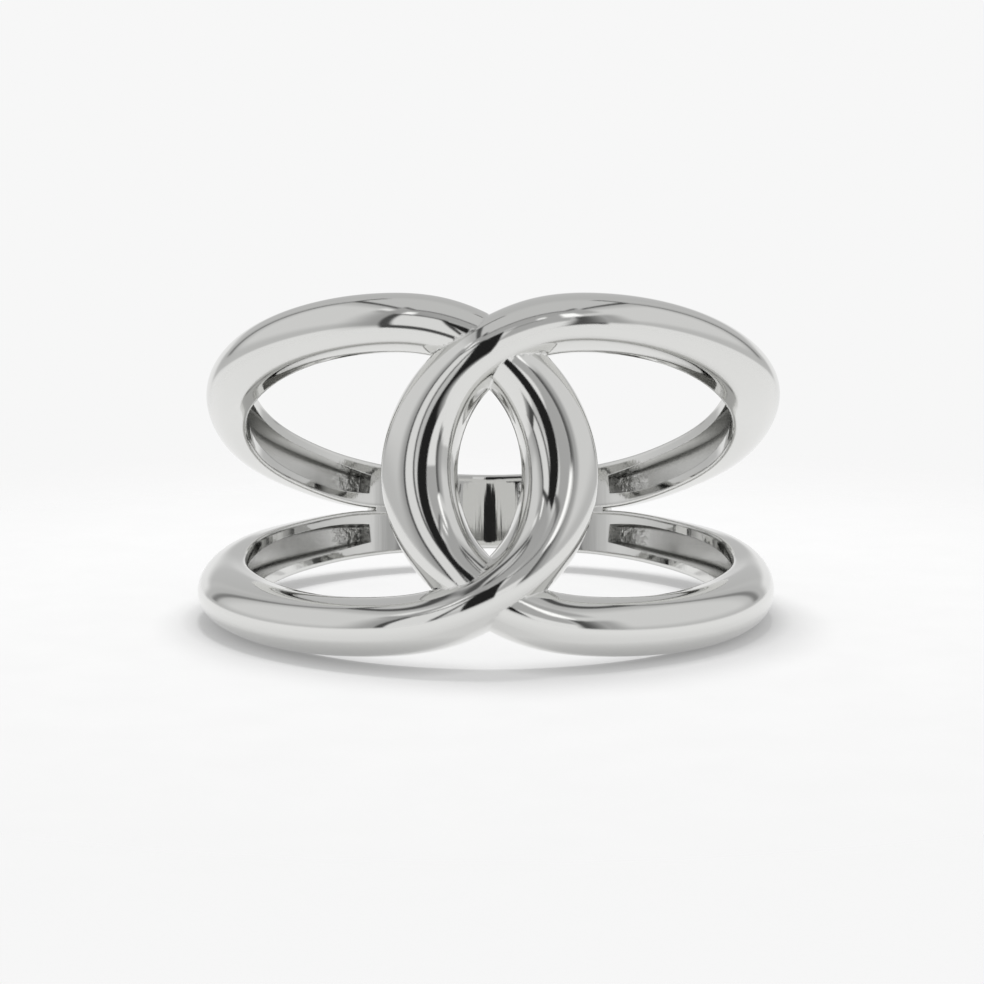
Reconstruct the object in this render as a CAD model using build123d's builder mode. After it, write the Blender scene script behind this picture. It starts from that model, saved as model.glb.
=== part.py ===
from build123d import *
import os
from collections import namedtuple
from math import cos, degrees, radians, sin

os.makedirs("parts", exist_ok=True)

# Driving sizes in millimetres and degrees. Angles go round the finger from the front centre.
bore_diameter = 17.3  # finger opening, about a US size 7
loop_reach = 4.99  # from the ring's middle plane to a rail's centre line where the loops are widest
rail_width = 2.0  # across a rail, seen from the front
closed_end_width = 2.45  # across a loop's closed end, where it is widest
closed_end_angle = 14.85  # how far past the front centre a loop's closed end reaches
closed_end_thickness = 1.4  # radial thickness of a loop at its closed end
over_thickness = 1.68  # radial thickness of the half of a loop that passes over
under_thickness = 1.44  # radial thickness of the half that passes under
flank_height = 0.45  # straight side of a rail between the finger opening and the dome
rail_gap = 0.03  # from the middle plane to the rails' inner edges where they meet at the back
band_height = 2.86  # plain band at the back, along the finger
band_thickness = 1.5  # plain band at the back, radially
trough_width = 1.0  # hollow in a rail's inner face, across the rail
trough_depth = 0.8  # how far the hollow goes into a rail
trough_front_angle = 36.0  # the hollows start at this station
trough_back_angle = 148.0  # and end at this one, where the rails join the band
rim_height = 0.16  # broken edges that touch the finger, radially
rim_inset = 0.1  # and across the rail

bore_radius = bore_diameter / 2
shoulder_radius = bore_radius + flank_height  # the rails' centre lines lie on this cylinder
widest_opening = loop_reach - rail_width / 2  # from the middle plane to a rail's inner edge
left_core = 0.6  # the left loop's sections reach this far inside the finger opening until it is cut
right_core = 0.75  # the right loop's this far, so that no two of them end on the same surface
band_core = 0.9  # and the band's this far
trough_core = 0.95  # the troughs' sections start below all of them
tessellation = 0.01  # how closely the lowest points of the ring are looked for
steepest_tilt = 45.0  # the ring lies at less than this
settle_steps = 16  # halvings of that angle

# One half of a loop, from the back to the closed end: the opening is how far the rail's inner edge stands off the
# middle plane, as a share of the widest opening; the widths are shares of rail_width, the thickness of a half on
# top or below of its own named thickness, the trough of trough_width.
Station = namedtuple("Station", "angle opening width over under trough")
stations = [
    Station(172.0, 0.005, 0.535, 0.68, 0.80, 0.00),
    Station(160.0, 0.002, 0.780, 0.77, 0.90, 0.00),
    Station(154.0, 0.001, 0.830, 0.79, 0.92, 0.00),
    Station(148.0, 0.007, 0.880, 0.80, 0.93, 0.70),
    Station(140.0, 0.047, 0.905, 0.82, 0.94, 0.95),
    Station(130.0, 0.125, 0.920, 0.85, 0.95, 1.05),
    Station(110.0, 0.302, 0.985, 0.94, 0.98, 1.05),
    Station(90.0, 0.530, 1.060, 1.00, 1.00, 1.10),
    Station(70.0, 0.726, 1.045, 1.02, 1.00, 1.10),
    Station(52.0, 0.887, 1.005, 1.01, 1.01, 1.00),
    Station(36.0, 0.980, 0.980, 1.02, 0.98, 0.80),
    Station(22.0, 0.999, 0.975, 1.08, 1.02, 0.00),
    Station(10.0, 0.939, 0.975, 1.13, 1.07, 0.00),
    Station(-1.0, 0.724, 1.000, 1.17, 1.12, 0.00),
    Station(-9.5, 0.367, 1.100, 1.04, 0.98, 0.00),
]

# The plain band, from where it comes up between the rails to the back's middle: the thickness goes from
# flank_height to band_thickness by the share rise, the height is a share of band_height.
BandStation = namedtuple("BandStation", "angle rise height")
band_stations = [
    BandStation(150.0, 0.30, 1.050),
    BandStation(158.0, 0.68, 1.050),
    BandStation(167.0, 0.93, 1.030),
    BandStation(180.0, 1.00, 1.000),
]

Section = namedtuple("Section", "angle height width thickness trough plane")


def on_cylinder(angle, height, radius):
    """Point at an angle from the front centre, round the finger's axis."""
    turn = radians(angle)
    return Vector(radius * sin(turn), -radius * cos(turn), height)


def loop_sections(flip):
    """Sections of a whole loop, over half first; flip -1 turns it half a turn about the view axis."""
    heights = [rail_gap + s.opening * widest_opening + s.width * rail_width / 2 for s in stations]
    over = [(s.angle, height, s.width, s.over * over_thickness, s.trough) for s, height in zip(stations, heights)]
    under = [(s.angle, -height, s.width, s.under * under_thickness, s.trough) for s, height in zip(stations, heights)]
    closed_end = (-closed_end_angle, 0.0, closed_end_width / rail_width, closed_end_thickness, 0.0)
    rows = [(flip * angle, flip * height, *sizes) for angle, height, *sizes in [*over, closed_end, *under[::-1]]]
    points = [on_cylinder(angle, height, shoulder_radius) for angle, height, *_ in rows]
    with BuildLine() as centre_line:
        Spline(*points)
    path = centre_line.edge()
    sections = []
    for point, (angle, height, width, thickness, trough) in zip(points, rows):
        plane = Plane(origin=(0, 0, height), x_dir=on_cylinder(angle, 0, 1), z_dir=path.tangent_at(point))
        sections.append(Section(angle, height, width * rail_width, thickness, trough * trough_width, plane))
    return sections


def rail_section(plane, width, thickness, core):
    """Dome on straight flanks with broken inner edges; the core is cut away with the finger opening."""
    foot = bore_radius - core
    rim_top = bore_radius + rim_height
    rim_end = bore_radius - rim_height
    side = width / 2
    neck = side - 2 * rim_inset
    with BuildSketch(plane) as section:
        with BuildLine():
            Polyline(
                (shoulder_radius, -side),
                (rim_top, -side),
                (rim_end, -neck),
                (foot, -neck),
                (foot, neck),
                (rim_end, neck),
                (rim_top, side),
                (shoulder_radius, side),
            )
            EllipticalCenterArc((shoulder_radius, 0), thickness - flank_height, side, -90, arc_size=180)
        make_face()
    return section.sketch


def trough_section(plane, width):
    """Rectangle from inside the finger opening into the rail."""
    with BuildSketch(plane) as section:
        with Locations((bore_radius + (trough_depth - trough_core) / 2, 0)):
            Rectangle(trough_depth + trough_core, width)
    return section.sketch


def troughs(sections):
    """Runs of sections that have a trough: one on the loop's over half, one on its under half."""
    hollow = [s for s in sections if trough_front_angle <= abs(s.angle) <= trough_back_angle]
    return hollow[: len(hollow) // 2], hollow[len(hollow) // 2 :]


def whole_loop(flip, core):
    """One loop with its two troughs; the finger opening is still filled."""
    sections = loop_sections(flip)
    with BuildPart() as loop:
        loft(sections=[rail_section(s.plane, s.width, s.thickness, core) for s in sections])
        for run in troughs(sections):
            loft(sections=[trough_section(s.plane, s.trough) for s in run], mode=Mode.SUBTRACT)
    return loop.part


def resting_tilt(points, balance):
    """Angle at which the point the ring stands on comes to lie under its centre of mass."""
    lower, upper = 0.0, radians(steepest_tilt)
    for _ in range(settle_steps):
        tilt = (lower + upper) / 2
        contact = min(points, key=lambda point: point.Z * cos(tilt) - point.Y * sin(tilt))
        overhang = (balance.Y - contact.Y) * cos(tilt) + (balance.Z - contact.Z) * sin(tilt)
        lower, upper = (tilt, upper) if overhang > 0 else (lower, tilt)
    return degrees(tilt)


with BuildPart() as band:
    mirrored = [s._replace(angle=360 - s.angle) for s in band_stations[-2::-1]]
    loft(
        sections=[
            rail_section(
                Plane(origin=(0, 0, 0), x_dir=on_cylinder(s.angle, 0, 1), z_dir=on_cylinder(s.angle + 90, 0, 1)),
                band_height * s.height,
                flank_height + (band_thickness - flank_height) * s.rise,
                band_core,
            )
            for s in band_stations + mirrored
        ]
    )

left_loop = whole_loop(1, left_core)
right_loop = whole_loop(-1, right_core)
with BuildPart() as upright_ring:
    add(left_loop)
    add(right_loop)
    add(band.part)
    Cylinder(bore_radius, 4 * loop_reach, mode=Mode.SUBTRACT)

# The ring lies on its side, as it comes to rest by itself, with the middle of its base at the origin
surface_points, surface_triangles = upright_ring.part.tessellate(tessellation)
tilt = resting_tilt(surface_points, upright_ring.part.center(CenterOf.MASS))
resting_ring = upright_ring.part.rotate(Axis.X, -tilt)
box = resting_ring.bounding_box()
with BuildPart() as knot_ring:
    with Locations((-box.center().X, -box.center().Y, -box.min.Z)):
        add(resting_ring)
knot_ring.part.label = "knot_ring"
export_step(knot_ring.part, "parts/knot_ring.step")
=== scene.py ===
import bpy
import numpy as np
from math import cos, pi, radians, sin
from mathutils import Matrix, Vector


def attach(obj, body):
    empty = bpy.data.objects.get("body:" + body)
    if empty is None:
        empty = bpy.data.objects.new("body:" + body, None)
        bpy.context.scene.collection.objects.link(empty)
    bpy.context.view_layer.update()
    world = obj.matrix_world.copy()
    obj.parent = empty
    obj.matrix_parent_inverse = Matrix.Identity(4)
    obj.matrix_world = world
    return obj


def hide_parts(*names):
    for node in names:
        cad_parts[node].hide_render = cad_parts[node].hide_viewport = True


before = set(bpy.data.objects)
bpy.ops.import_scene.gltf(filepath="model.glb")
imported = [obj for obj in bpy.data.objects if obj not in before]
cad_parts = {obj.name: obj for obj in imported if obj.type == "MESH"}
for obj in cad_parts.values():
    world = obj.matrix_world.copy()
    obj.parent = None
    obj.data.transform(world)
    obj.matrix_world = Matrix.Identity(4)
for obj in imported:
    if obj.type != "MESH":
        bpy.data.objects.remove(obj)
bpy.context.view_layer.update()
print("frame loaded")

mm = 0.001  # the ring's sizes are in millimetres, the scene in metres


def fill(tree, socket, value):
    # a link or a constant into one socket
    if isinstance(value, bpy.types.NodeSocket):
        tree.links.new(value, socket)
    else:
        socket.default_value = value


def addNode(tree, kind, inputs=None, **settings):
    # one node with its settings and the sockets or values that go into it
    node = tree.nodes.new(kind)
    for name, value in settings.items():
        setattr(node, name, value)
    for key, value in (inputs or {}).items():
        fill(tree, node.inputs[key], value)
    return node


def connect(tree, group, **values):
    # the named sockets of a group node
    for name, value in values.items():
        fill(tree, group.inputs[name], value)


def maths(tree, operation, *values, clamp=False):
    # a Math node's result
    node = addNode(tree, "ShaderNodeMath", dict(enumerate(values)), operation=operation, use_clamp=clamp)
    return node.outputs[0]


def mixed(tree, share, first, second, kind="FLOAT"):
    # a Mix node's result; colours have sockets of their own in it
    start, result = (6, 2) if kind == "RGBA" else (2, 0)
    node = addNode(tree, "ShaderNodeMix", {0: share, start: first, start + 1: second}, data_type=kind)
    return node.outputs[result]


def newTree(name, kind, inputs, outputs):
    # an empty node group with named sockets; inputs and outputs are (name, socket type, default)
    tree = bpy.data.node_groups.new(name, kind)
    for label, socketType, default in inputs:
        socket = tree.interface.new_socket(name=label, in_out="INPUT", socket_type=socketType)
        if default is not None:
            socket.default_value = default
    for label, socketType in outputs:
        tree.interface.new_socket(name=label, in_out="OUTPUT", socket_type=socketType)
    return tree, tree.nodes.new("NodeGroupInput").outputs, tree.nodes.new("NodeGroupOutput").inputs


# sizes of the ring, the same as the model's
ring = dict(
    boreRadius=8.65,  # finger opening
    loopReach=4.99,  # from the middle plane to a rail's centre line where the loops are widest
    railWidth=2.0,
    closedEnd=(-14.85, 2.45, 1.4),  # a loop's closed end: angle past the front centre, width, thickness
    overThickness=1.68,  # half of a loop that passes over
    underThickness=1.44,  # half that passes under
    flankHeight=0.45,  # straight side between the finger opening and the dome
    railGap=0.03,
    bandHeight=2.86,
    bandThickness=1.5,
    bandStrip=0.3,  # half width of the strip that the band has in the place of a trough
    troughWidth=1.0,
    troughDepth=0.8,
    troughEndStep=0.012,  # a section this far on each side of a trough's end makes it square
    troughEndClear=0.05,  # and no other section stands this close to it
    castEndLength=0.9,  # the casting beads in the troughs' back ends reach about this far
    castEndFade=1.5,  # and are gone at this many times that distance
    rimHeight=0.16,  # broken edges that touch the finger
    rimInset=0.1,
    tilt=13.1994,  # how far the ring leans back as it lies
    seat=(0.0, 0.6946, 4.2287),  # where the middle of the ring is then
    stepsAlong=420,  # sections along a loop
    bandSteps=120,
    crease=28,  # edges with a sharper angle than this, in degrees, aren't smoothed
    shellEase=(0.0, 0.004, 0.008),  # added to boreRadius in turn, so that no two shells share a surface
)

# angle from the front centre, share of the widest opening, of railWidth, of both thicknesses, of troughWidth
loopStations = [
    (172.0, 0.005, 0.535, 0.68, 0.80, 0.00),
    (160.0, 0.002, 0.780, 0.77, 0.90, 0.00),
    (154.0, 0.001, 0.830, 0.79, 0.92, 0.00),
    (148.0, 0.007, 0.880, 0.80, 0.93, 0.70),
    (140.0, 0.047, 0.905, 0.82, 0.94, 0.95),
    (130.0, 0.125, 0.920, 0.85, 0.95, 1.05),
    (110.0, 0.302, 0.985, 0.94, 0.98, 1.05),
    (90.0, 0.530, 1.060, 1.00, 1.00, 1.10),
    (70.0, 0.726, 1.045, 1.02, 1.00, 1.10),
    (52.0, 0.887, 1.005, 1.01, 1.01, 1.00),
    (36.0, 0.980, 0.980, 1.02, 0.98, 0.80),
    (22.0, 0.999, 0.975, 1.08, 1.02, 0.00),
    (10.0, 0.939, 0.975, 1.13, 1.07, 0.00),
    (-1.0, 0.724, 1.000, 1.17, 1.12, 0.00),
    (-9.5, 0.367, 1.100, 1.04, 0.98, 0.00),
]

# angle, share of the rise from the flank to bandThickness, share of bandHeight
bandStations = [(150.0, 0.30, 1.05), (158.0, 0.68, 1.05), (167.0, 0.93, 1.03), (180.0, 1.0, 1.0)]

# shares of the section's sizes round half a rail
railShape = dict(
    domeSteps=37,
    rimSteps=6,
    flank=(0.66, 0.33),
    face=(0.75, 0.5, 0.25, 0),  # of the inner face, from the rim to the trough
    trough=((0.97, 0.3), (0.95, 0.65), (0.9, 0.9), (0.75, 1), (0.35, 1)),  # its half width and its depth
)

shoulderRadius = ring["boreRadius"] + ring["flankHeight"]
sizeNames = ("boreRadius", "flankHeight", "rimHeight", "rimInset")
sectionNames = ["turn", "rise", "lean", "side", "crest", "troughSide", "troughDeep", "castEnd"]
profileNames = ["spread", "inset", "hollow", "outward", "dome", "rim", "deep"]


def smoothThrough(places, values, at):
    # natural cubic through the stations, with its slope
    gaps = np.diff(places)
    count = len(places)
    system = np.eye(count)
    bends = np.zeros(count)
    for i in range(1, count - 1):
        system[i, i - 1 : i + 2] = gaps[i - 1], 2 * (gaps[i - 1] + gaps[i]), gaps[i]
        bends[i] = 6 * ((values[i + 1] - values[i]) / gaps[i] - (values[i] - values[i - 1]) / gaps[i - 1])
    bends = np.linalg.solve(system, bends)
    k = np.clip(np.searchsorted(places, at) - 1, 0, count - 2)
    after, before, gap = at - places[k], places[k + 1] - at, gaps[k]
    low = values[k] / gap - bends[k] * gap / 6
    high = values[k + 1] / gap - bends[k + 1] * gap / 6
    height = (bends[k] * before**3 + bends[k + 1] * after**3) / (6 * gap) + low * before + high * after
    slope = (bends[k + 1] * after**2 - bends[k] * before**2) / (2 * gap) - low + high
    return height, slope


def loopSections(flip):
    # sections of a whole loop, over half first; flip -1 turns it half a turn about the view axis
    widest = ring["loopReach"] - ring["railWidth"] / 2

    def sectionRow(station, side):
        angle, opening, width, over, under, trough = station
        height = ring["railGap"] + opening * widest + width * ring["railWidth"] / 2
        thickness = over * ring["overThickness"] if side > 0 else under * ring["underThickness"]
        halfWidths = width * ring["railWidth"] / 2, trough * ring["troughWidth"] / 2
        return angle, side * height, thickness, *halfWidths

    endAngle, endWidth, endThickness = ring["closedEnd"]
    rows = [sectionRow(station, 1) for station in loopStations]
    rows += [(endAngle, 0.0, endThickness, endWidth / 2, 0.0)]
    rows += [sectionRow(station, -1) for station in loopStations[::-1]]
    angle, height, thickness, side, trough = np.array(rows).T
    turn = np.radians(flip * angle)
    rise = flip * height
    points = np.stack([shoulderRadius * np.sin(turn), -shoulderRadius * np.cos(turn), rise], axis=1)
    place = np.r_[0, np.cumsum(np.linalg.norm(np.diff(points, axis=0), axis=1))]
    at = np.linspace(0, place[-1], ring["stepsAlong"])
    hollow = np.flatnonzero(trough)
    runs = [hollow[: len(hollow) // 2], hollow[len(hollow) // 2 :]]
    ends = place[[run[k] for run in runs for k in (0, -1)]]
    at = at[np.abs(at[:, None] - ends).min(axis=1) > ring["troughEndClear"]]
    at = np.sort(np.r_[at, ends - ring["troughEndStep"], ends + ring["troughEndStep"]])
    turnAt, turnSlope = smoothThrough(place, turn, at)
    riseAt, riseSlope = smoothThrough(place, rise, at)
    troughSide = np.zeros(len(at))
    troughDeep = np.zeros(len(at))
    castEnd = np.zeros(len(at))
    for run, half in zip(runs, (at < place[-1] / 2, at >= place[-1] / 2)):
        first, last = place[run[0]], place[run[-1]]
        width = smoothThrough(place[run], trough[run], np.clip(at, first, last))[0]
        troughSide[half] = width[half]
        troughDeep[(at > first) & (at < last)] = ring["troughDepth"]
        backEnd = place[run[np.argmax(np.abs(angle[run]))]]
        away = np.abs(at - backEnd) / ring["castEndLength"]
        castEnd = np.maximum(castEnd, np.clip(ring["castEndFade"] - away, 0, 1))
    crest = smoothThrough(place, thickness, at)[0] - ring["flankHeight"]
    sides = smoothThrough(place, side, at)[0]
    lean = np.arctan2(riseSlope, turnSlope * shoulderRadius)
    return np.stack([turnAt, riseAt, lean, sides, crest, troughSide, troughDeep, castEnd], axis=1)


def bandSections():
    # the plain band comes up between the rails and runs round the back
    rows = bandStations + [(360 - angle, *sizes) for angle, *sizes in bandStations[-2::-1]]
    angle, rise, height = np.array(rows).T
    place = np.radians(angle) * shoulderRadius
    at = np.linspace(place[0], place[-1], ring["bandSteps"])
    flat = np.zeros(len(at))
    side = smoothThrough(place, height * ring["bandHeight"] / 2, at)[0]
    crest = smoothThrough(place, rise * (ring["bandThickness"] - ring["flankHeight"]), at)[0]
    strip = flat + ring["bandStrip"]
    return np.stack([at / shoulderRadius, flat, flat, side, crest, strip, flat, flat], axis=1)


def railProfile():
    # the points round a rail: dome, flank, broken edge, inner face and trough
    dome = [(sin(a), 0, 0, 1, cos(a), 0, 0) for a in np.linspace(pi / 2, -pi / 2, railShape["domeSteps"])]
    half = [(1, 0, 0, share, 0, 1, 0) for share in railShape["flank"]]
    half += [(1, cos(a) - 1, 0, 0, 0, 1 - sin(a), 0) for a in np.linspace(0, pi / 2, railShape["rimSteps"])]
    half += [(share, -share, 1 - share, 0, 0, 0, 0) for share in railShape["face"]]
    half += [(0, 0, width, 0, 0, 0, depth) for width, depth in railShape["trough"]]
    low = [(-spread, -inset, -hollow, *rest) for spread, inset, hollow, *rest in half]
    return np.array(dome + low + [(0, 0, 0, 0, 0, 0, 1)] + half[::-1])


def lineObject(name, names, rows, closed):
    # a chain of points that carries the rows as named attributes, for a sweep; only their order counts
    count = len(rows)
    edges = [(i, i + 1) for i in range(count - 1)] + [(count - 1, 0)] * closed
    mesh = bpy.data.meshes.new(name)
    if closed:
        turns = [2 * pi * i / count for i in range(count)]
        points = [(0.1 * sin(turn), 0.1 * cos(turn), 0) for turn in turns]
    else:
        points = [(0, 0, i) for i in range(count)]
    mesh.from_pydata(points, edges, [])
    for label, column in zip(names, rows.T):
        mesh.attributes.new(label, "FLOAT", "POINT").data.foreach_set("value", column.astype(np.float32))
    line = bpy.data.objects.new(name, mesh)
    bpy.context.scene.collection.objects.link(line)
    return line


def sweepTree():
    # a profile line swept along a path line; both carry the numbers that place each point
    inputs = [("path", "NodeSocketObject", None), ("profile", "NodeSocketObject", None)]
    inputs += [(name, "NodeSocketFloat", ring[name]) for name in sizeNames]
    tree, given, result = newTree("sweptShell", "GeometryNodeTree", inputs, [("shell", "NodeSocketGeometry")])

    def curveOf(name):
        info = addNode(tree, "GeometryNodeObjectInfo", {"Object": given[name]})
        return addNode(tree, "GeometryNodeMeshToCurve", {0: info.outputs["Geometry"]}).outputs[0]

    def row(name):
        return addNode(tree, "GeometryNodeInputNamedAttribute", {"Name": name}, data_type="FLOAT").outputs[0]

    sweep = addNode(tree, "GeometryNodeCurveToMesh",
                    {"Curve": curveOf("path"), "Profile Curve": curveOf("profile"), "Fill Caps": True})
    across = maths(tree, "MULTIPLY", row("side"), row("spread"))
    across = maths(tree, "MULTIPLY_ADD", given["rimInset"], row("inset"), across)
    across = maths(tree, "MULTIPLY_ADD", row("troughSide"), row("hollow"), across)
    along = maths(tree, "MULTIPLY", across, maths(tree, "SINE", row("lean")))
    upward = maths(tree, "MULTIPLY", across, maths(tree, "COSINE", row("lean")))
    shoulder = maths(tree, "ADD", given["boreRadius"], given["flankHeight"])
    outer = maths(tree, "MULTIPLY_ADD", row("crest"), row("dome"), shoulder)
    inner = maths(tree, "POWER", given["boreRadius"], 2.0)
    inner = maths(tree, "SQRT", maths(tree, "SUBTRACT", inner, maths(tree, "MULTIPLY", along, along)))
    inner = maths(tree, "MULTIPLY_ADD", given["rimHeight"], row("rim"), inner)
    inner = maths(tree, "MULTIPLY_ADD", row("troughDeep"), row("deep"), inner)
    radial = maths(tree, "MULTIPLY_ADD", maths(tree, "SUBTRACT", outer, inner), row("outward"), inner)
    sine, cosine = maths(tree, "SINE", row("turn")), maths(tree, "COSINE", row("turn"))
    x = maths(tree, "MULTIPLY_ADD", radial, sine, maths(tree, "MULTIPLY", along, cosine))
    y = maths(tree, "MULTIPLY", radial, cosine)
    y = maths(tree, "SUBTRACT", maths(tree, "MULTIPLY", along, sine), y)
    z = maths(tree, "SUBTRACT", row("rise"), upward)
    place = addNode(tree, "ShaderNodeCombineXYZ", {"X": x, "Y": y, "Z": z}).outputs[0]
    placed = addNode(tree, "GeometryNodeSetPosition", {"Geometry": sweep.outputs[0], "Position": place})
    outward = addNode(tree, "GeometryNodeFlipFaces", {"Mesh": placed.outputs[0]})
    folded = addNode(tree, "GeometryNodeInputMeshEdgeAngle").outputs["Unsigned Angle"]
    creased = addNode(tree, "FunctionNodeCompare", {0: folded, 1: radians(ring["crease"])},
                      data_type="FLOAT")
    smooth = addNode(tree, "GeometryNodeSetMeshNormal",
                     {"Mesh": outward.outputs[0], "Edge Sharpness": creased.outputs[0]}, mode="SHARPNESS")
    normal = addNode(tree, "GeometryNodeInputNormal").outputs["Normal"]
    kept = addNode(tree, "GeometryNodeStoreNamedAttribute",
                   {"Geometry": smooth.outputs[0], "Name": "shellNormal"},
                   data_type="FLOAT_VECTOR", domain="CORNER")
    tree.links.new(normal, kept.inputs["Value"])
    tree.links.new(kept.outputs[0], result["shell"])
    return tree


sweptShell = sweepTree()


def ringTree():
    # left loop, right loop and band, joined into one skin, leant back and set down where the model has them
    paths = ("leftPath", "rightPath", "bandPath")
    inputs = [("geometry", "NodeSocketGeometry", None)]
    inputs += [(name, "NodeSocketObject", None) for name in (*paths, "profile")]
    inputs += [(name, "NodeSocketFloat", ring[name]) for name in (*sizeNames, "tilt")]
    inputs += [("seat", "NodeSocketVector", (0, 0, 0)), ("metal", "NodeSocketMaterial", None)]
    outputs = [("geometry", "NodeSocketGeometry")]
    tree, given, result = newTree("knotRing", "GeometryNodeTree", inputs, outputs)
    shells = []
    for name, ease in zip(paths, ring["shellEase"]):
        shell = addNode(tree, "GeometryNodeGroup", node_tree=sweptShell)
        sizes = {size: given[size] for size in sizeNames}
        sizes["boreRadius"] = maths(tree, "ADD", given["boreRadius"], ease)
        connect(tree, shell, path=given[name], profile=given["profile"], **sizes)
        shells.append(shell.outputs["shell"])
    union = addNode(tree, "GeometryNodeMeshBoolean", operation="UNION", solver="MANIFOLD")
    for shell in shells:
        tree.links.new(shell, union.inputs["Mesh 2"])
    lean = maths(tree, "RADIANS", maths(tree, "MULTIPLY", given["tilt"], -1.0))
    turned = addNode(tree, "GeometryNodeTransform", {
        "Geometry": union.outputs[0],
        "Rotation": addNode(tree, "ShaderNodeCombineXYZ", {"X": lean}).outputs[0],
        "Translation": given["seat"],
    })
    scaled = addNode(tree, "GeometryNodeTransform", {"Geometry": turned.outputs[0], "Scale": (mm, mm, mm)})
    normal = addNode(tree, "GeometryNodeInputNamedAttribute", {"Name": "shellNormal"},
                     data_type="FLOAT_VECTOR")
    normal = addNode(tree, "ShaderNodeVectorRotate", {"Vector": normal.outputs[0], "Angle": lean},
                     rotation_type="X_AXIS")
    shaded = addNode(tree, "GeometryNodeSetMeshNormal", {"Mesh": scaled.outputs[0]},
                     mode="FREE", domain="CORNER")
    tree.links.new(normal.outputs[0], shaded.inputs["Custom Normal"])
    real = addNode(tree, "GeometryNodeRealizeInstances", {0: shaded.outputs[0]})
    finished = addNode(tree, "GeometryNodeSetMaterial",
                       {"Geometry": real.outputs[0], "Material": given["metal"]})
    tree.links.new(finished.outputs[0], result["geometry"])
    return tree


def plainMesh(source, name):
    # the evaluated modifier as a plain mesh in a new object at the origin
    shown = source.evaluated_get(bpy.context.evaluated_depsgraph_get())
    mesh = bpy.data.meshes.new_from_object(shown)
    mesh.name = name
    made = bpy.data.objects.new(name, mesh)
    bpy.context.scene.collection.objects.link(made)
    return made


def setInputs(modifier, **values):
    # a modifier's inputs, by their sockets' identifiers
    for item in modifier.node_group.interface.items_tree:
        if item.item_type == "SOCKET" and item.in_out == "INPUT" and item.name in values:
            modifier[item.identifier] = values[item.name]


grainLook = dict(
    detail=3.0,
    span=(0.3, 0.7),  # the noise is stretched from here to here
)


def grainTree():
    # fine noise between two values, for whatever is not quite even
    inputs = [("place", "NodeSocketVector", None)]
    inputs += [(name, "NodeSocketFloat", 0.0) for name in ("scale", "low", "high")]
    tree, given, result = newTree("fineGrain", "ShaderNodeTree", inputs, [("value", "NodeSocketFloat")])
    least, most = grainLook["span"]
    noise = addNode(tree, "ShaderNodeTexNoise",
                    {"Vector": given["place"], "Scale": given["scale"], "Detail": grainLook["detail"]})
    value = addNode(tree, "ShaderNodeMapRange", {
        "Value": noise.outputs[0],
        "From Min": least,
        "From Max": most,
        "To Min": given["low"],
        "To Max": given["high"],
    })
    tree.links.new(value.outputs[0], result["value"])
    return tree


fineGrain = grainTree()


def grain(tree, place, scale, low, high):
    # the group's result in another tree
    node = addNode(tree, "ShaderNodeGroup", node_tree=fineGrain)
    connect(tree, node, place=place, scale=scale, low=low, high=high)
    return node.outputs["value"]


metalLook = dict(
    colour=(0.74, 0.74, 0.725),
    castColour=(0.7, 0.7, 0.685),  # in the troughs, where no polishing wheel reaches
    paintedTroughShade=(0.24, 0.24, 0.23),  # painted shade along the troughs' walls
    shadeWallSpan=(0.6, 0.92),  # the painted shade grows from here to here, as a share of a trough's half width
    roughness=(0.03, 0.055),
    castRoughness=(0.2, 0.26),
    polishGrain=700.0,  # grains in a metre
    castGrain=2500.0,
    beadGloss=0.75,  # the beads in the troughs' back ends are less rough by this share
    endPatchShade=(0.0, 0.9, 5500.0),  # and painted shade in patches there, as dark as the walls: least and most share, and grain
    waves=(0.0014, 260.0),  # what the polish leaves on the surface: height in millimetres, and its grain
    streaks=(0.0025, 2600.0),  # what is left on the inner faces
    streakDrawn=(1.0, 0.1, 0.04),  # and how it is drawn out along them
    beads=(0.06, 3600.0),  # casting beads in the troughs' back ends
    softened=0.06,  # the creases look rounded to this radius, in millimetres
    softenedSamples=2,
)


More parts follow.
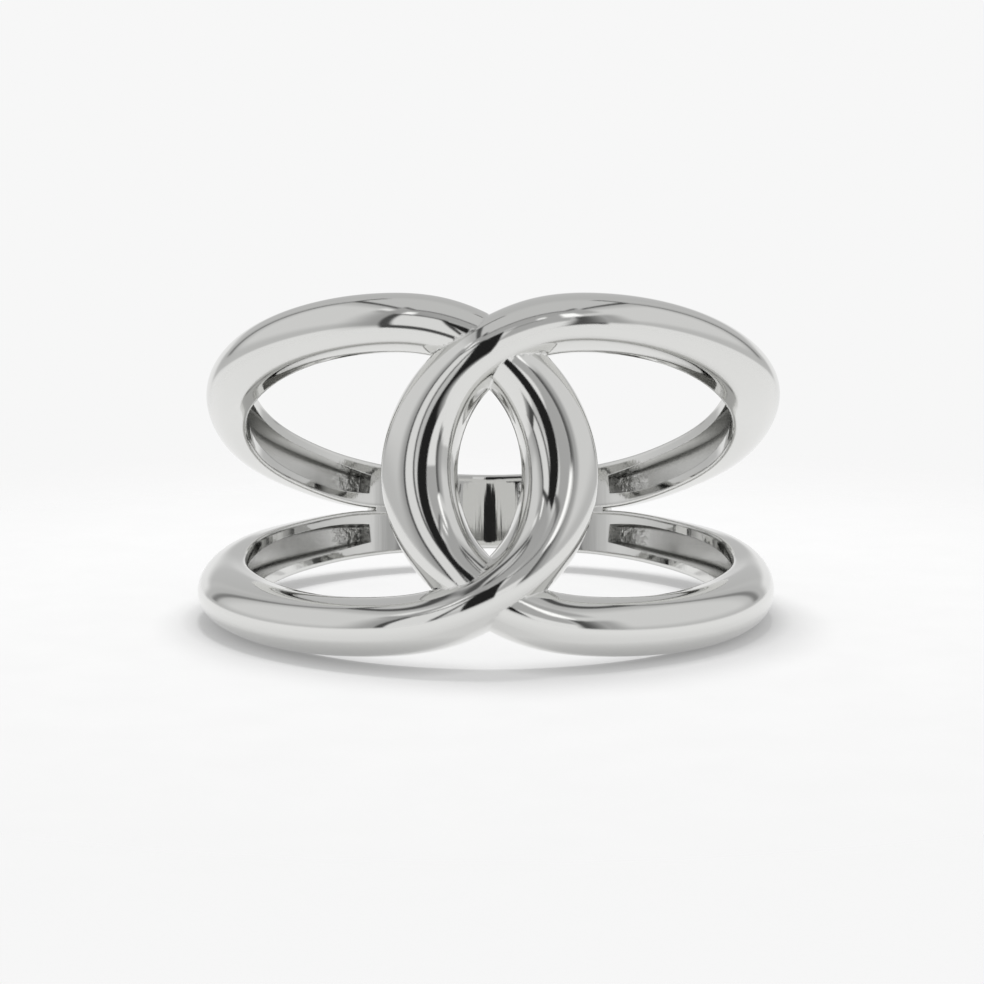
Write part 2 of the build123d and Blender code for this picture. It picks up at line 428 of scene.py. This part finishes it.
def metalMaterial():
    # polished metal, duller in the troughs, which the mesh's attributes mark, with painted shade along the
    # troughs' walls and in patches at their back ends
    material = bpy.data.materials.new("polishedMetal")
    material.use_nodes = True
    tree = material.node_tree
    shader = tree.nodes["Principled BSDF"]
    shader.inputs["Metallic"].default_value = 1.0
    place = addNode(tree, "ShaderNodeTexCoord").outputs["Object"]
    drawn = addNode(tree, "ShaderNodeVectorMath", {0: place, 1: metalLook["streakDrawn"]},
                    operation="MULTIPLY")

    def share(name):
        return addNode(tree, "ShaderNodeAttribute", attribute_name=name).outputs["Fac"]

    cast = maths(tree, "DIVIDE", share("troughDeep"), ring["troughDepth"])
    cast = maths(tree, "MULTIPLY", share("deep"), cast, clamp=True)
    inner = maths(tree, "SUBTRACT", 1.0, share("outward"), clamp=True)
    polished = grain(tree, place, metalLook["polishGrain"], *metalLook["roughness"])
    rough = grain(tree, place, metalLook["castGrain"], *metalLook["castRoughness"])
    glossier = maths(tree, "MULTIPLY_ADD", share("castEnd"), -metalLook["beadGloss"], 1.0)
    rough = maths(tree, "MULTIPLY", rough, glossier)
    tree.links.new(mixed(tree, cast, polished, rough), shader.inputs["Roughness"])
    # painted shade: the troughs' walls darken towards their edges, where shade falls in the groove
    wallStart, wallFull = metalLook["shadeWallSpan"]
    wallShadeMask = addNode(tree, "ShaderNodeMapRange", {
        "Value": maths(tree, "ABSOLUTE", share("hollow")),
        "From Min": wallStart,
        "From Max": wallFull,
    }).outputs[0]
    # painted shade in noisy patches at the troughs' back ends, in the same colour as the walls
    low, high, scale = metalLook["endPatchShade"]
    spottedShade = maths(tree, "MULTIPLY", share("castEnd"), grain(tree, place, scale, low, high))
    paintedShade = maths(tree, "MULTIPLY", cast, maths(tree, "MAXIMUM", wallShadeMask, spottedShade))
    colour = mixed(tree, cast, (*metalLook["colour"], 1), (*metalLook["castColour"], 1), "RGBA")
    colour = mixed(tree, paintedShade, colour, (*metalLook["paintedTroughShade"], 1), "RGBA")
    tree.links.new(colour, shader.inputs["Base Color"])

    def relief(where, name):
        size, scale = metalLook[name]
        return grain(tree, where, scale, 0.0, size)

    streaks = maths(tree, "MULTIPLY", inner, relief(drawn.outputs[0], "streaks"))
    beads = maths(tree, "MULTIPLY", maths(tree, "MULTIPLY", cast, share("castEnd")), relief(place, "beads"))
    height = maths(tree, "ADD", maths(tree, "ADD", relief(place, "waves"), streaks), beads)
    softened = addNode(tree, "ShaderNodeBevel", {"Radius": metalLook["softened"] * mm},
                       samples=metalLook["softenedSamples"])
    bumped = addNode(tree, "ShaderNodeBump",
                     {"Height": height, "Distance": mm, "Normal": softened.outputs[0]})
    tree.links.new(bumped.outputs[0], shader.inputs["Normal"])
    return material


metal = metalMaterial()
lines = {
    "leftPath": lineObject("leftPath", sectionNames, loopSections(1), False),
    "rightPath": lineObject("rightPath", sectionNames, loopSections(-1), False),
    "bandPath": lineObject("bandPath", sectionNames, bandSections(), False),
    "profile": lineObject("railProfile", profileNames, railProfile(), True),
}
source = bpy.data.objects.new("ringSource", bpy.data.meshes.new("ringSource"))
bpy.context.scene.collection.objects.link(source)
sweep = source.modifiers.new("knotRing", "NODES")
sweep.node_group = ringTree()
setInputs(sweep, **lines, **{name: ring[name] for name in (*sizeNames, "tilt", "seat")}, metal=metal)
knotRing = plainMesh(source, "knotRing")
for helper in [source, *lines.values()]:
    bpy.data.objects.remove(helper)
print("ring swept:", len(knotRing.data.polygons), "faces", len(knotRing.data.vertices), "points")

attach(knotRing, "root")
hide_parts("knot_ring")

floorLook = dict(
    radius=0.06,  # in metres, like the other distances here
    rimPoints=96,
    roughness=0.9,
    fadeFrom=0.016,  # past this distance from the ring the floor thins out into the background
    fadeTo=0.045,
    colour=(0.403, 0.415),  # what it gives back of the light, between these
    grain=400.0,
    bright=0.94,  # how bright it is in all, away from the shadow
    glow=0.4,  # this much of its brightness is painted glow, which keeps the shadow pale
    glowInMetal=0.68,  # and more painted glow as the metal shows it, so that its shadow looks paler there
    contact=0.001,  # within this distance of the ring its glow is darkened, a painted contact shadow
    contactShare=0.5,  # by at most this share
    contactSamples=1,
)

floorMesh = bpy.data.meshes.new("floor")
rimTurns = np.linspace(0, 2 * pi, floorLook["rimPoints"], endpoint=False)
rim = [(floorLook["radius"] * cos(turn), floorLook["radius"] * sin(turn), 0) for turn in rimTurns]
floorMesh.from_pydata(rim, [], [list(range(len(rim)))])
floor = bpy.data.objects.new("floor", floorMesh)
bpy.context.scene.collection.objects.link(floor)
paleFloor = bpy.data.materials.new("paleFloor")
paleFloor.use_nodes = True
tree = paleFloor.node_tree
shader = tree.nodes["Principled BSDF"]
shader.inputs["Roughness"].default_value = floorLook["roughness"]
shader.inputs["Specular IOR Level"].default_value = 0.0
shader.inputs["Emission Strength"].default_value = 1.0
place = addNode(tree, "ShaderNodeTexCoord").outputs["Object"]
mirrored = addNode(tree, "ShaderNodeLightPath").outputs["Is Glossy Ray"]
glow = mixed(tree, mirrored, floorLook["glow"], floorLook["glowInMetal"])
# painted contact shadow: the floor's glow darkens where the ring is near
contactShadeFactor = addNode(tree, "ShaderNodeAmbientOcclusion", {"Distance": floorLook["contact"]},
                   samples=floorLook["contactSamples"]).outputs["AO"]
contactShadeFactor = mixed(tree, floorLook["contactShare"], 1.0, contactShadeFactor)
tree.links.new(maths(tree, "MULTIPLY", glow, contactShadeFactor), shader.inputs["Emission Color"])
# as the metal shows the floor, it takes less of the lamps' light and more painted glow
litShare = (floorLook["bright"] - floorLook["glowInMetal"]) / (floorLook["bright"] - floorLook["glow"])
dimmed = maths(tree, "MULTIPLY_ADD", mirrored, litShare - 1, 1.0)
pale = maths(tree, "MULTIPLY", grain(tree, place, floorLook["grain"], *floorLook["colour"]), dimmed)
tree.links.new(pale, shader.inputs["Base Color"])
away = addNode(tree, "ShaderNodeVectorMath", {0: place}, operation="LENGTH").outputs["Value"]
fade = addNode(tree, "ShaderNodeMapRange", {
    "Value": away,
    "From Min": floorLook["fadeFrom"],
    "From Max": floorLook["fadeTo"],
    "To Min": 1.0,
    "To Max": 0.0,
}, interpolation_type="SMOOTHSTEP")
tree.links.new(fade.outputs[0], shader.inputs["Alpha"])
floorMesh.materials.append(paleFloor)
print("floor laid")

room = dict(
    background=0.93,  # what the camera sees behind everything
    onFloor=0.59,  # the even light that falls on the floor
    metalShare=0.74,  # the metal gives back this share of the light
)

allRound = (-400, 400)  # more than a whole turn, so that the soft ends of such a panel don't show

# Soft panels of a square studio tent round the ring, in the order they are laid over each other: azimuths,
# elevations, lean with height, softness of the edges, and how light each looks in the metal, from 0 to 1.
# Azimuth goes from the camera to the right; elevation is that of the tent's wall, so that the walls' top edge
# is one line. Both are in degrees, and so is the softness.
roomPanels = [
    ("wall", allRound, (-11, 90), 0, 7, 0.585),
    ("wallFoot", allRound, (-60, 5), 0, 14, 0.46),
    ("lowerRoom", allRound, (-100, -10.5), 0, 3, 0.69),
    ("wallTopLeft", (-150, -50), (54, 62), 0, 11, 0.4),
    ("wallTopRight", (50, 150), (54, 62), 0, 11, 0.4),
    ("ceiling", allRound, (60.5, 100), 0, 1.5, 0.485),
    ("sideEndLeft", (-150, -126), (-8, 60), 0, 18, 0.42),
    ("sideEndRight", (126, 150), (-8, 60), 0, 18, 0.42),
    ("cornerLeft", (-137, -131), (2, 60), 0, 5, 0.19),
    ("cornerRight", (131, 137), (1, 60), 0, 5, 0.2),
    ("backWallLeft", (-212, -148), (-12, 62), 0, 14, 0.43),
    ("backWallRight", (148, 212), (-12, 62), 0, 14, 0.43),
    ("backdropLeft", (-212, -146), (-30, 10), 0, 9, 0.66),
    ("backdropRight", (146, 212), (-30, 10), 0, 9, 0.66),
    ("frontTop", (-62, 56), (43, 66), 0, 8, 0.345),
    ("seamFront", (-60, 60), (64.3, 67.5), 0, 1.5, 0.09),
    ("seamRight", (58, 150), (59.3, 62.5), 0, 1.5, 0.07),
    ("seamLeft", (-150, -58), (59.3, 62.5), 0, 1.5, 0.07),
    ("wallNearLeft", (-58, -30), (-16, 56), 0, 22, 0.3),
    ("windowFrame", (-47, -20), (-24, 45), 0, 2, 0.06),
    ("window", (-42.5, -24), (-9, 41), 0, 2, 0.65),
    ("screen", (9, 37), (7, 46), 0, 2, 0.36),
    ("screenFoot", (12, 36), (-26, 7), 0, 2, 0.69),
    ("screenTop", (2, 26), (36, 38.5), 0, 1.5, 0.13),
    ("postRight", (38, 49.5), (-24, 30), 0, 3, 0.07),
    ("postShade", (46, 58), (-14, 32), 0, 12, 0.33),
    ("lampRight", (34.5, 42), (29, 50), 0, 2.5, 1.0),
    ("lampMiddle", (22, 27), (42, 48), 0, 2, 1.0),
    ("lampLeft", (-43.5, -38), (46, 56), 0, 2.5, 1.0),
    ("lampFar", (-66, -54), (50, 56), 0, 3, 0.72),
    ("cameraBand", (-10, 14), (-24, 42), 0.35, 1.5, 0.014),
]


def panelTree():
    # lays one soft rectangle of light over what is there already
    names = ["azimuth", "elevation", "light", "left", "right", "low", "high", "lean", "softness", "strength"]
    inputs = [(name, "NodeSocketFloat", 0.0) for name in names]
    tree, given, result = newTree("softPanel", "ShaderNodeTree", inputs, [("light", "NodeSocketFloat")])
    half = maths(tree, "MULTIPLY", given["softness"], 0.5)
    across = maths(tree, "MULTIPLY_ADD", given["lean"], given["elevation"], given["azimuth"])
    cover = 1.0
    for angle, low, high in ((across, "left", "right"), (given["elevation"], "low", "high")):
        for edge, sign in ((low, 1.0), (high, -1.0)):
            start = maths(tree, "MULTIPLY_ADD", half, -sign, given[edge])
            stop = maths(tree, "MULTIPLY_ADD", half, sign, given[edge])
            share = addNode(tree, "ShaderNodeMapRange", {"Value": angle, "From Min": start, "From Max": stop},
                            interpolation_type="SMOOTHSTEP").outputs[0]
            cover = maths(tree, "MULTIPLY", cover, share)
    tree.links.new(mixed(tree, cover, given["light"], given["strength"]), result["light"])
    return tree


softPanel = panelTree()
world = bpy.data.worlds.new("softRoom")
world.use_nodes = True
bpy.context.scene.world = world
tree = world.node_tree
tree.nodes.clear()
looking = addNode(tree, "ShaderNodeTexCoord").outputs["Generated"]
x, y, z = addNode(tree, "ShaderNodeSeparateXYZ", {0: looking}).outputs
azimuth = maths(tree, "DEGREES", maths(tree, "ARCTAN2", x, maths(tree, "MULTIPLY", y, -1.0)))
wallAway = maths(tree, "MAXIMUM", maths(tree, "ABSOLUTE", x), maths(tree, "ABSOLUTE", y))
elevation = maths(tree, "DEGREES", maths(tree, "ARCTAN2", z, wallAway))
light = room["background"]
for name, (left, right), (low, high), lean, softness, strength in roomPanels:
    panel = addNode(tree, "ShaderNodeGroup", node_tree=softPanel, label=name)
    sizes = dict(left=left, right=right, low=low, high=high, lean=lean, softness=softness)
    sizes["strength"] = strength / room["metalShare"]
    connect(tree, panel, azimuth=azimuth, elevation=elevation, light=light, **sizes)
    light = panel.outputs["light"]


def backdrop(level):
    # white light of this strength from all round
    return addNode(tree, "ShaderNodeBackground", {"Color": (1, 1, 1, 1), "Strength": level}).outputs[0]


rays = addNode(tree, "ShaderNodeLightPath").outputs
surface = backdrop(room["onFloor"])
for kind, level in (("Is Glossy Ray", light), ("Is Camera Ray", room["background"])):
    surface = addNode(tree, "ShaderNodeMixShader", {0: rays[kind], 1: surface, 2: backdrop(level)}).outputs[0]
addNode(tree, "ShaderNodeOutputWorld", {"Surface": surface})

keyLight = dict(
    energy=0.34,
    size=0.07,
    place=Vector((0, 0.046, 0.195)),  # along the finger's axis: upper and lower rails cast one shadow
)
lampData = bpy.data.lights.new("keyLight", "AREA")
lampData.shape = "DISK"
lampData.size = keyLight["size"]
lampData.energy = keyLight["energy"]
lamp = bpy.data.objects.new("keyLight", lampData)
bpy.context.scene.collection.objects.link(lamp)
lamp.location = keyLight["place"]
lamp.rotation_euler = (-keyLight["place"]).to_track_quat("-Z", "Y").to_euler()
lamp.visible_camera = False
lamp.visible_glossy = False
print("room lit:", len(roomPanels), "panels")

view = dict(
    distance=100 * mm,
    height=radians(8.742),  # above the floor
    aim=Vector(ring["seat"]) * mm,
    lens=102.44,
    shift=(0.00246, 0.00193),
    sensor=36,
    clipStart=1 * mm,
)
cameraData = bpy.data.cameras.new("camera")
camera = bpy.data.objects.new("camera", cameraData)
bpy.context.scene.collection.objects.link(camera)
camera.location = view["aim"] + view["distance"] * Vector((0, -cos(view["height"]), sin(view["height"])))
camera.rotation_euler = (view["aim"] - camera.location).to_track_quat("-Z", "Y").to_euler()
cameraData.lens = view["lens"]
cameraData.sensor_width = view["sensor"]
cameraData.shift_x, cameraData.shift_y = view["shift"]
cameraData.clip_start = view["clipStart"]
bpy.context.scene.camera = camera
bpy.context.scene.view_settings.view_transform = "Standard"
print("camera set")
